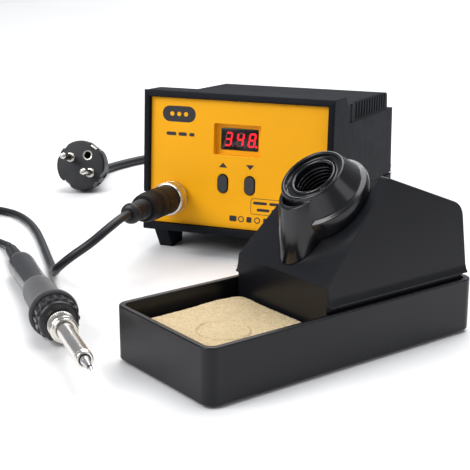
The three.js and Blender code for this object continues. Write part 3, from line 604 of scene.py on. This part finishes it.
def ribbed(start, end, r0, r1, ribs, tail, deep=0.7, share=0.55):
    """A tapered boot with ribs: from start to end along the axis, then a smooth tail."""
    points = [(start, 0), (start, r0)]
    for i in range(ribs):
        a = start + (end - start) * (i + 0.15) / ribs
        b = start + (end - start) * (i + 0.15 + share) / ribs
        r = r0 + (r1 - r0) * (i + 0.5) / ribs
        c = b + (end - start) * 0.04 / ribs
        d = start + (end - start) * (i + 1.1) / ribs
        points += [(a, r), (b, r), (c, r - deep), (d, r - deep)]
    return [*points, *tail]


boot = rounded(ribbed(34.3, 57, 7.4, 5.3, 7, [(58, 5.2), (61, 4.9), (62, 4.2), (62, 0)]), 0.35, 2)
plug_boot = finish_piece("mains_plug_neck", turned(boot, steps=48), PLUG, "station", rubber,
                         ("mains_plug_boot",))
for name, side in (("left", -1), ("right", 1)):
    outline = [(-19, 0), (-19, 1.6), (-18.2, 2.35), (-1, 2.4), (-1, 3.4), (-0.1, 3.6), (-0.1, 0)]
    pin = turned(rounded(outline, 0.5, 4), steps=36)
    bmesh.ops.translate(pin, verts=pin.verts, vec=(0, side * PIN_SPREAD, 0))
    finish_piece(f"mains_pin_{name}", pin, PLUG, "station", nickel, (f"plug_pin_{name}",))
for name, side in (("top", 1), ("bottom", -1)):
    outline = [(0.4, 15.6), (0.4, 16.9), (7, 17.9), (14.6, 16.9), (14.6, 15.9), (7, 16.9)]
    clip = prism(bmesh.new(), rounded(outline, 0.8, 4, True), -2.7, 2.7, "Z", 0.2, 2)
    upright = Matrix(((1, 0, 0, 0), (0, 0, 1, 0), (0, side, 0, 0), (0, 0, 0, 1)))
    bmesh.ops.transform(clip, verts=clip.verts, matrix=upright)
    finish_piece(f"earth_contact_{name}", clip, PLUG, "station", nickel,
                             (f"earth_clip_{name}",))
eyelet = turned([(0.02, 2.5), (-0.25, 2.7), (-0.3, 3.6), (0.02, 3.8), (0.02, 2.5)], steps=36)
bmesh.ops.translate(eyelet, verts=eyelet.verts, vec=(0, 0, EARTH_AT))
finish_piece("earth_eyelet", eyelet, PLUG, "station", nickel)

# the rear wall leans from REAR_LOW at the underside to REAR_MID at the seam
REAR_LOW, REAR_MID, SEAM, GLAND_Z = 165, 161, 22.9, 12
wall_y = REAR_LOW - (REAR_LOW - REAR_MID) * GLAND_Z / SEAM
rib = ((0.5, 0), (2.4, 0.1), (2.6, 0.75), (3.7, 0.8))
gland_ribs = [(wall_y + 5 + k * 3.6 + d, 6.4 - k * 0.27 - c) for k in range(7) for d, c in rib]
gland = rounded([
    (wall_y - 9, 0), (wall_y - 9, 6.4), (wall_y - 4.2, 6.4), (wall_y - 4.2, 4.1), (wall_y + 1.6, 4.1),
    (wall_y + 1.8, 7), (wall_y + 5, 6.7), *gland_ribs, (wall_y + 31, 4.5), (wall_y + 32, 4), (wall_y + 32, 0),
], 0.3, 2)
gland_piece = finish_piece("mains_strain_relief", turned(gland, "Y", 48), GLAND, "station", rubber,
                           ("mains_gland",))

# ------------------------------------------------------------------ control unit
def on_front_corner(point):
    """Whether a point lies on the upright outer corners of the front rim."""
    p = UNIT.inverted() @ point
    return p.y < 0.5 and abs(p.x) > 59.5


for node, name in (("top_cover", "cover"), ("bottom_case", "lower_case")):
    softened(node, name, case_black, 0.45, "station", big=(on_front_corner, 1.9))
softened("front_panel", "yellow_panel", yellow, 0.3, "station")

# rounded noses in front of the vent slots
for name, side in (("left", -1), ("right", 1)):
    angles = [math.pi * (k / 16 - 0.5) for k in range(17)]
    arc = [(side * (55.2 + 4.3 * math.cos(a)), 44.5 + 5.5 * math.sin(a)) for a in angles]
    nose = prism(bmesh.new(), [*arc, (side * 54, 50), (side * 54, 39)], 69.6, 80.7, "Z", 0.7, 3)
    finish_piece(f"vent_nose_{name}", nose, UNIT, "station", case_black)

# display: smoked window with seven-segment digits
DISPLAY_Z = 58.7
window = prism(bmesh.new(), rect(23.4, 12.8, 0.5, 4, at=(0, DISPLAY_Z)), 7.0, 10.6, "Y", 0.15, 2)
prism(window, rect(29.8, 15.8, 0.6, 4, at=(0, DISPLAY_Z)), 10.7, 18.6, "Y")
finish_piece("display_window", window, UNIT, "station", smoked, ("display_module",))

DIGIT_W, DIGIT_H, BAR, SLANT = 4.6, 8.6, 1.0, 0.16
SEGMENT_Y = (6.9, 6.99)  # just in front of the window
# where each segment's middle is, in half widths and half heights, and whether it stands upright
SEGMENTS = {
    "a": (0, 1, 0), "g": (0, 0, 0), "d": (0, -1, 0),
    "f": (-1, 0.5, 1), "b": (1, 0.5, 1), "e": (-1, -0.5, 1), "c": (1, -0.5, 1),
}
on, off = bmesh.new(), bmesh.new()
for x, lit_segments in ((-6.9, "abgcd"), (0.6, "fbgc"), (8.1, "abcdefg")):
    for key, (sx, sz, upright) in SEGMENTS.items():
        cx, cz = sx * (DIGIT_W - BAR) / 2, sz * (DIGIT_H - BAR) / 2
        run = ((DIGIT_H - BAR) / 2 if upright else DIGIT_W - BAR) / 2 - 0.12
        w = BAR / 2
        bar = [(-run, 0), (-run + w, -w), (run - w, -w), (run, 0), (run - w, w), (-run + w, w)]
        outline = [(cx + (v if upright else u), cz + (u if upright else v)) for u, v in bar]
        outline = [(x + u + SLANT * v, DISPLAY_Z + v) for u, v in outline]
        prism(on if key in lit_segments else off, outline, *SEGMENT_Y, "Y")
    dot = circle(0.62, 16, at=(x + DIGIT_W / 2 + 0.45, DISPLAY_Z - DIGIT_H / 2 + 0.5))
    prism(on if x > 5 else off, dot, *SEGMENT_Y, "Y")
finish_piece("segments_lit", on, UNIT, "station", segment_on)
# the dark segments glow faintly: painted glow
finish_piece("segments_dark", off, UNIT, "station", segment_off_glow)

# print on the panel: arrows, a plain badge, and blocks where the wording would be
PRINT_Y = (2.93, 3.02)  # the print stands 0.07 mm in front of the panel's face
BADGE_X, BADGE_Z = -37.7, 72.3
marks = bmesh.new()


def mark(outline):
    prism(marks, outline, *PRINT_Y, "Y")


def frame_mark(w, h, r, line, at):
    """A printed line round an oblong with round corners."""
    outer, inner = rect(w, h, r, 6, at), rect(w - 2 * line, h - 2 * line, r - line, 6, at)
    front, rear = PRINT_Y
    sections = ((outer, rear), (outer, front), (inner, front), (inner, rear))
    rows = [[marks.verts.new(along(u, v, y, "Y")) for u, v in outline] for outline, y in sections]
    for a, b in zip(rows, rows[1:] + rows[:1]):
        for i in range(len(outer)):
            j = (i + 1) % len(outer)
            marks.faces.new((a[i], a[j], b[j], b[i]))


mark([(-11.3, 41.8), (-5.9, 41.8), (-8.6, 44.7)])
mark([(6.0, 44.4), (11.2, 44.4), (8.6, 41.5)])
mark(rect(21.5, 9.6, 4.7, 8, at=(BADGE_X, BADGE_Z)))
for x, w in ((-42.6, 6.4), (-35.2, 5.4), (-29.2, 3.4)):
    mark(rect(w, 2.1, 0.9, 4, at=(x, 60.2)))
frame_mark(38, 9.9, 2, 0.3, (28.6, 19.7))
upper_row, lower_row = ((15.6, 8.6), (27.6, 12.2), (38.4, 6.2)), ((17.6, 8.0), (29.2, 12.4), (38.6, 3.4))
for z, blocks in ((21.8, upper_row), (17.7, lower_row)):
    for x, w in blocks:
        mark(rect(w, 1.7, 0.6, 4, at=(x, z)))
SYMBOL_PITCH = 5.15
for k, w in enumerate((4.6, 3.6, 3.2, 3.8, 2.6, 4.8, 3.4, 4.0, 4.0, 3.4)):
    x = -1.4 + k * SYMBOL_PITCH
    if k in (1, 3, 7):
        frame_mark(3.8, 3.8, 1.89, 0.6, (x, 11.2))
    elif k in (8, 9):
        frame_mark(w, 3.8, 0.5, 0.5, (x, 11.2))
    else:
        mark(rect(w, 3.4, 0.7, 4, at=(x, 11.2)))
finish_piece("panel_print", marks, UNIT, "station", ink)
badge = bmesh.new()
for x in (-42.2, BADGE_X, -33.2):
    prism(badge, circle(1.35, 20, at=(x, BADGE_Z)), 2.88, 2.925, "Y")
finish_piece("badge_dots", badge, UNIT, "station", yellow)

KEY_X, KEY_Z = 8.6, 31.9
for name, x in (("up", -KEY_X), ("down", KEY_X)):
    key = prism(bmesh.new(), rect(5.7, 10.7, 2.84, 10, at=(x, KEY_Z)), 2.1, 8, "Y", 0.75, 5)
    prism(key, rect(8.3, 13.3, 4.1, 8, at=(x, KEY_Z)), 6.7, 7.9, "Y")
    prism(key, rect(3, 3, 0.4, 2, at=(x, KEY_Z)), 7.5, 11.8, "Y")
    finish_piece(f"{name}_key", key, UNIT, f"{name}_button", key_grey, (f"{name}_button",))

# circular connector: socket in the panel, coupling ring, plug body and its ribbed boot
flange = [(-7, 6.4), (-7, 7.8), (0.9, 7.8), (1.0, 9.7), (2.7, 9.7), (2.7, 7.8), (17, 7.8), (17, 0), (1.5, 0),
          (1.5, 6.4), (-7, 6.4)]
finish_piece("socket_flange", turned(rounded(flange, 0.2, 2), "Y", 64), SOCKET, "station", nickel,
             ("panel_socket",))


def knurl(t, a, r):
    """Crossed grooves round the coupling ring."""
    if r < 9.6 or not -7.4 < a < -1.6:
        return r
    return r - 0.22 * (abs(math.sin(26 * t + a * 2.2)) * abs(math.sin(26 * t - a * 2.2))) ** 0.5


ring = fine(rounded([(-8.6, 8.1), (-8.6, 9.3), (-8.0, 9.8), (-7.5, 9.8), (-7.5, 10.1), (-1.5, 10.1), (-1.5, 9.7),
                     (-0.8, 9.7), (-0.8, 10.1), (0.5, 10.1), (0.5, 8.1)], 0.15, 2), 0.35)
coupling = finish_piece("ring", turned([*ring, ring[0]], "Y", 260, knurl), SOCKET, "coupling_ring", nickel,
                        ("coupling_ring",))
shell = [(-1.5, 4.9), (-1.5, 6.1), (-8.9, 6.1), (-9.1, 8.5), (-9.5, 8.8), (-22, 8.8), (-22.2, 8.62),
         (-22.7, 8.62), (-22.9, 8.8), (-29, 8.8)]
for k in range(4):
    shell += [(-29.6 - k * 1.5, 8.8), (-29.8 - k * 1.5, 8.5), (-30.3 - k * 1.5, 8.5), (-30.5 - k * 1.5, 8.8)]
shell += [(-36, 8.7), (-40.5, 8.3), (-42.6, 7.8), (-43, 7.0), (-43, 0), (-8.6, 0), (-8.6, 4.9), (-1.5, 4.9)]
barrel_piece = finish_piece("plug_barrel", turned(shell, "Y", 72), SOCKET, "iron_lead", plug_black,
                            ("plug_shell",))
neck = [(-43.3, 0), (-43.3, 6.0)]
for k in range(6):
    a = -43.9 - k * 2.15
    neck += [(a, 5.98 - 0.06 * k), (a - 1.0, 5.98 - 0.06 * k), (a - 1.2, 4.2), (a - 1.95, 4.2)]
neck += [(-56.8, 5.2), (-57.6, 5.9), (-58.6, 6.1), (-60.4, 5.9), (-61.4, 5.0), (-62, 3.6), (-62, 0)]
neck_piece = finish_piece("plug_neck", turned(rounded(neck, 0.35, 2), "Y", 48), SOCKET, "iron_lead", rubber,
                          ("plug_boot",))


def contact_insert():
    """Insert in the plug's front sleeve, with one contact hole in the middle and five round it."""
    face, depth, reach, radius = -2.2, 3.2, 2.9, 0.6
    holes = []
    for x, z in [(0, 0), *circle(reach, 5)]:
        hole = turned([(face - depth, 0), (face - depth, radius), (face + 0.4, radius), (face + 0.4, 0)], "Y", 20)
        bmesh.ops.translate(hole, verts=hole.verts, vec=(x, 0, z))
        holes.append(("DIFFERENCE", hole))
    return combined(turned([(-8.3, 0), (-8.3, 4.6), (face - 0.3, 4.6), (face, 4.3), (face, 0)], "Y", 56), *holes)


insert_piece = finish_piece("contact_insert", contact_insert(), SOCKET, "iron_lead", gloss_black,
                            ("plug_insert",))

# rear rocker switch
softened("power_switch_body", "switch_frame", gloss_black, 0.4, "station")
softened("power_rocker", "rocker", gloss_black, 0.5, "power_rocker")
for side in ("left", "right"):
    softened(f"rear_foot_{side}", f"rear_pad_{side}", rubber, 0.3, "station")

# ------------------------------------------------------------------ iron
tip = rounded([(0, 0), (0, 0.35), (3.2, 0.95), (16.8, 2.6), (44, 2.6), (44, 3.3), (48, 3.3), (48, 2.2), (24, 2.2),
               (24, 0)], 0.25, 3)
POINT_L, POINT_FLAT = 3.4, 0.62  # the point is flattened over this length, down to this share of its height
tip_shape = turned(fine(tip, 1.2), steps=48)
for v in tip_shape.verts:
    if v.co.x < POINT_L:
        v.co.z *= POINT_FLAT + (1 - POINT_FLAT) * max(0, v.co.x) / POINT_L
finish_piece("tip", tip_shape, IRON, "barrel", tip_plating, ("iron_tip",))
barrel = rounded([(15.6, 2.9), (15.5, 3.5), (15.9, 4.0), (17.2, 4.2), (17.6, 3.95), (18.2, 3.95), (18.6, 4.2),
                  (62.1, 4.2), (62.1, 5.6), (64.1, 5.6), (64.1, 3.7), (43.5, 3.7), (43.5, 2.9)], 0.3, 3)
finish_piece("barrel_sleeve", turned([*barrel, barrel[0]], steps=72), IRON, "barrel", steel,
             ("barrel_tube",))


def straight_knurl(t, a, r):
    """Forty straight grooves along the nut's outside."""
    return r - 0.28 * (0.5 - 0.5 * math.cos(40 * t)) if 62.2 < a < 69.6 and r > 6.3 else r


nut = [(60.6, 4.5), (60.6, 5.6), (60.9, 5.9), (61.6, 6.0), (61.7, 6.5), (62.1, 6.9), (62.3, 6.9), (69.5, 6.9),
       (69.8, 6.9), (70.2, 6.5), (70.3, 6.1), (71, 5.95), (61.8, 5.9), (61.8, 4.5), (60.6, 4.5)]
finish_piece("nut", turned(nut, steps=240, shape=straight_knurl), IRON, "barrel_nut", nickel,
             ("barrel_nut",))
nipple = [(64.5, 2.9), (64.5, 5.2)]
for k in range(9):
    nipple += [(65 + k * 0.9, 5.25), (65.45 + k * 0.9, 5.5)]
nipple += [(73.4, 5.25), (73.6, 5.5), (97, 5.5), (97, 2.9), (64.5, 2.9)]
finish_piece("nipple", turned(nipple, steps=56), IRON, "iron", nickel, ("nipple_tube",))


def flutes(t, a, r):
    """Sixteen flutes round the collar."""
    if a < 78.6 or a > 86.6 or r < 9:
        return r
    return 11 - 0.95 * (0.5 - 0.5 * math.cos(16 * t)) ** 1.6


collar = fine(rounded([(75.3, 5.9), (75.3, 9.2), (75.9, 9.9), (78.0, 10.0), (78.2, 9.7), (78.5, 10.2), (79.0, 11),
                       (86.2, 11), (86.9, 10.4), (86.9, 5.9)], 0.3, 3), 0.8)
finish_piece("collar", turned([*collar, collar[0]], steps=256, shape=flutes), IRON, "iron", handle_black,
             ("fluted_collar",))
grip = fine(rounded([(87.5, 5.9), (87.5, 11.4), (88.8, 12.5), (91.6, 12.5), (93.6, 11.2), (96.4, 10.1),
                     (101.5, 9.2), (131, 8.8), (135.4, 8.4), (136, 7.8), (136, 5.9)], 1.4, 5), 1.5)
finish_piece("grip", turned([*grip, grip[0]], steps=72), IRON, "iron", foam_black, ("foam_grip",))
handle = rounded([(99, 2.3), (99, 5.6), (136.3, 5.6), (136.4, 7.5), (138.5, 7.7), (139.2, 7.3), (150, 7.3),
                  (176, 7.6), (189, 7.9), (194.5, 7.5), (196.3, 6.3), (196.5, 3.2), (112, 3), (112, 2.3)], 0.8, 5)
finish_piece("handle", turned([*handle, handle[0]], steps=64), IRON, "iron", handle_black,
             ("handle_shell",))


def lattice():
    """Strain relief: rings joined by short bars that change sides, over a soft core."""
    bm = turned([(187.5, 0), (187.5, 2.7), (196.8, 2.7), (196.8, 5.0), (199.4, 4.7), (199.6, 2.75), (233.4, 2.62),
                 (233.4, 0)], steps=36)
    rings = 12
    for k in range(rings):
        a = 201.4 + k * 2.66
        r = 4.5 - 0.09 * k
        ring = turned([(a - 0.55, 2.6), (a - 0.6, r - 0.2), (a - 0.4, r), (a + 0.4, r), (a + 0.6, r - 0.2),
                       (a + 0.55, 2.6), (a - 0.55, 2.6)], steps=36)
        piece = bpy.data.meshes.new("ring")
        ring.to_mesh(piece)
        ring.free()
        bm.from_mesh(piece)
        for side in (0, 180):
            turn = Matrix.Rotation(math.radians(side + 90 * (k % 2)), 4, "X")
            bar = prism(bmesh.new(), rect(2.1, 2.0, 0.3, 2, at=(0, r - 1.1)), a - 2.4, a, "X")
            bmesh.ops.transform(bar, verts=bar.verts, matrix=turn)
            bar.to_mesh(piece)
            bar.free()
            bm.from_mesh(piece)
        bpy.data.meshes.remove(piece)
    return bm


finish_piece("strain_relief", lattice(), IRON, "iron", rubber, ("iron_strain_relief",))

# ------------------------------------------------------------------ stand
MID_Y = 37.85  # middle of the pan, across it
MOUTH_LEAN = 36  # degrees that the receptacle leans forward
softened("stand_pan", "pan", stand_black, 0.8, "stand")
softened("stand_housing", "housing", stand_black, 0.7, "stand_housing")


def receptacle():
    """Two cones leaning forward, a ringed mouth, the bore, and a hollow half-round shield in front."""
    foot = Matrix.Translation((99, MID_Y, 70.67))
    slope = 45.66  # of the housing's front

    def tipped(bm, lean=MOUTH_LEAN):
        bmesh.ops.transform(bm, verts=bm.verts, matrix=foot @ Matrix.Rotation(math.radians(-lean), 4, "Y"))
        return bm

    def slab(x, lo, hi, lean=MOUTH_LEAN):
        return tipped(prism(bmesh.new(), [(-60, -30), (x, -30), (x, 30), (-60, 30)], lo, hi), lean)

    cone = [(-9, 0), (-9, 24.4), (6, 23.2), (6.8, 20.9), (16.6, 16.9), (17.8, 16.3), (17.8, 14.8), (15.4, 14.5),
            (15.4, 11.9), (16.8, 11.4), (16.8, 0)]
    skirt = tipped(turned(rounded(cone, 0.7, 4), "Z", 96))
    ribs = [(a + 2 * k, r) for k in range(8) for a, r in ((-2, 10), (-1.7, 9.6), (-1.2, 9.6), (-0.9, 10))]
    hole = [(-36, 0), (-36, 7), (-30, 7), (-10, 10), *ribs, (16.2, 10), (17.5, 11), (17.5, 0)]
    bore = tipped(turned(hole, "Z", 96))
    sleeve = tipped(turned([(-34, 0), (-34, 12.6), (1, 12.6), (1, 0)], "Z", 96))
    shield = prism(bmesh.new(), circle(12, 72, at=(84, MID_Y)), 30, 100)
    hollow = prism(bmesh.new(), circle(10.4, 72, at=(84, MID_Y)), 30, 100)
    pocket = combined(hollow, ("INTERSECT", slab(60, 9, 60)))
    wall = combined(shield, ("INTERSECT", slab(9, -40, 16)), ("DIFFERENCE", pocket))
    above = combined(skirt, ("UNION", wall), ("INTERSECT", slab(60, 0.3, 60, slope)))
    return round_edges(combined(above, ("UNION", sleeve), ("DIFFERENCE", bore)), 0.35, 3, 40)


finish_piece("receptacle", receptacle(), STAND, "stand_housing", gloss_black, ("iron_receptacle",))
for k in range(1, 5):
    softened(f"stand_foot_{k}", f"stand_pad_{k}", rubber, 0.3, "stand")


def sponge_mesh():
    """A thin pad with uneven skin, edges that lift a little, and a round pre-cut plug in the middle."""
    bm = bmesh.new()
    n, m, half, thick = 110, 8, 29, 6.0  # steps across and through it, half width, thickness
    ring_r = 12.6
    for axis, sign in (("Z", -1), ("Z", 1), ("X", -1), ("X", 1), ("Y", -1), ("Y", 1)):
        us, vs = n, n if axis == "Z" else m
        grid = [[None] * (vs + 1) for _ in range(us + 1)]
        for i in range(us + 1):
            for j in range(vs + 1):
                u, v = 2 * i / us - 1, 2 * j / vs - 1
                grid[i][j] = bm.verts.new(along(u, v, sign, axis) if axis != "Y" else (u, sign, v))
        for i in range(us):
            for j in range(vs):
                bm.faces.new((grid[i][j], grid[i + 1][j], grid[i + 1][j + 1], grid[i][j + 1]))
    bmesh.ops.remove_doubles(bm, verts=bm.verts, dist=1e-4)
    for v in bm.verts:
        u, w, h = v.co
        # corners rounded in plan, edges rounded in section
        k = max(abs(u), abs(w))
        s = (abs(u) ** 14 + abs(w) ** 14) ** (1 / 14) if k > 0 else 1
        u, w = (u * k / s, w * k / s) if s > 0 else (u, w)
        edge = max(0.0, (k - 0.93) / 0.07)
        x, y = u * half, w * half
        z = h * (thick / 2 - 0.55 * edge ** 2) + thick / 2
        x -= u * 0.45 * abs(h) ** 4
        y -= w * 0.45 * abs(h) ** 4
        p = Vector((x, y, z))
        wave = 0.35 * noise.noise(p * 0.05) + 0.18 * noise.noise(p * 0.16 + Vector((9, 2, 1)))
        curl = 1.5 * max(0.0, (k - 0.6) / 0.4) ** 2 * (0.7 + 0.6 * noise.noise(Vector((x * 0.03, y * 0.03, 4))))
        bottom = 0.3 if h < 0 else 1.0
        z += (wave + curl) * (0.15 + 0.85 * (h + 1) / 2) * bottom
        skin = noise.noise(p * 0.9) * 0.12 + noise.noise(p * 2.1) * 0.07
        x, y = x + skin * u, y + skin * w
        if h > 0.99:
            z += skin
            far = math.hypot(x + 6.5, y + 4.85)
            z -= 0.9 * math.exp(-((far - ring_r) / 0.42) ** 2)
            z += 0.25 * (far < ring_r)
        v.co = (x + 39, y + MID_Y - 0.6, 14.35 + max(0.0, z))
    return bm


sponge = finish_piece("sponge_pad", sponge_mesh(), STAND, "sponge", sponge_tan, ("sponge",),
                      sharp=60)

# ------------------------------------------------------------------ carried-over nodes
for node, material in {
    "control_board": board_green, "key_switch_up": dark_steel, "key_switch_down": dark_steel,
    "socket_nut": nickel, "transformer_core": dark_steel, "transformer_winding": winding,
    "heater_element": ceramic,
    "case_screw_fl": steel, "case_screw_fr": steel, "case_screw_rl": steel, "case_screw_rr": steel,
}.items():
    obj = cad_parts[node]
    obj.data.materials.clear()
    obj.data.materials.append(material)
    edge = obj.modifiers.new("edge", "BEVEL")
    edge.width, edge.segments = 0.0002, 2

# ------------------------------------------------------------------ floor and light
floor_mesh = bpy.data.meshes.new("floor")
reach = 6
corners = [(-reach, -reach, 0), (reach, -reach, 0), (reach, reach, 0), (-reach, reach, 0)]
floor_mesh.from_pydata(corners, [], [(0, 1, 2, 3)])
floor = bpy.data.objects.new("floor", floor_mesh)
bpy.context.scene.collection.objects.link(floor)
pale = Nodes("floor_pale")
pale.colour(pale.ramp(pale.noise(0.3), (0.3, (0.82, 0.82, 0.825)), (0.7, (0.86, 0.86, 0.865))))
pale.rough(pale.spread(pale.noise(0.2), 0.5, 0.6))
floor_mesh.materials.append(pale.material)

world = bpy.data.worlds.new("studio")
world.use_nodes = True
world.node_tree.nodes["Background"].inputs["Color"].default_value = (0.93, 0.95, 1.0, 1)
world.node_tree.nodes["Background"].inputs["Strength"].default_value = 0.37
bpy.context.scene.world = world
bpy.context.scene.view_settings.view_transform = "Standard"


def softbox(name, at, size, power, aim=(0, 0, 0.03)):
    data = bpy.data.lights.new(name, "AREA")
    data.shape, data.size, data.size_y, data.energy = "RECTANGLE", size[0], size[1], power
    lamp = bpy.data.objects.new(name, data)
    lamp.location = at
    lamp.rotation_euler = (Vector(aim) - Vector(at)).to_track_quat("-Z", "Y").to_euler()
    bpy.context.scene.collection.objects.link(lamp)


softbox("key", (-0.7, -0.9, 0.9), (0.8, 0.8), 15.5)
softbox("fill", (1.1, -0.35, 0.55), (0.5, 0.8), 1.6)
softbox("top", (0.1, 0.25, 1.2), (1.2, 0.9), 12.5)
softbox("back", (-0.2, 1.9, 1.6), (2.6, 1.2), 34, (-0.2, 1.5, 0))
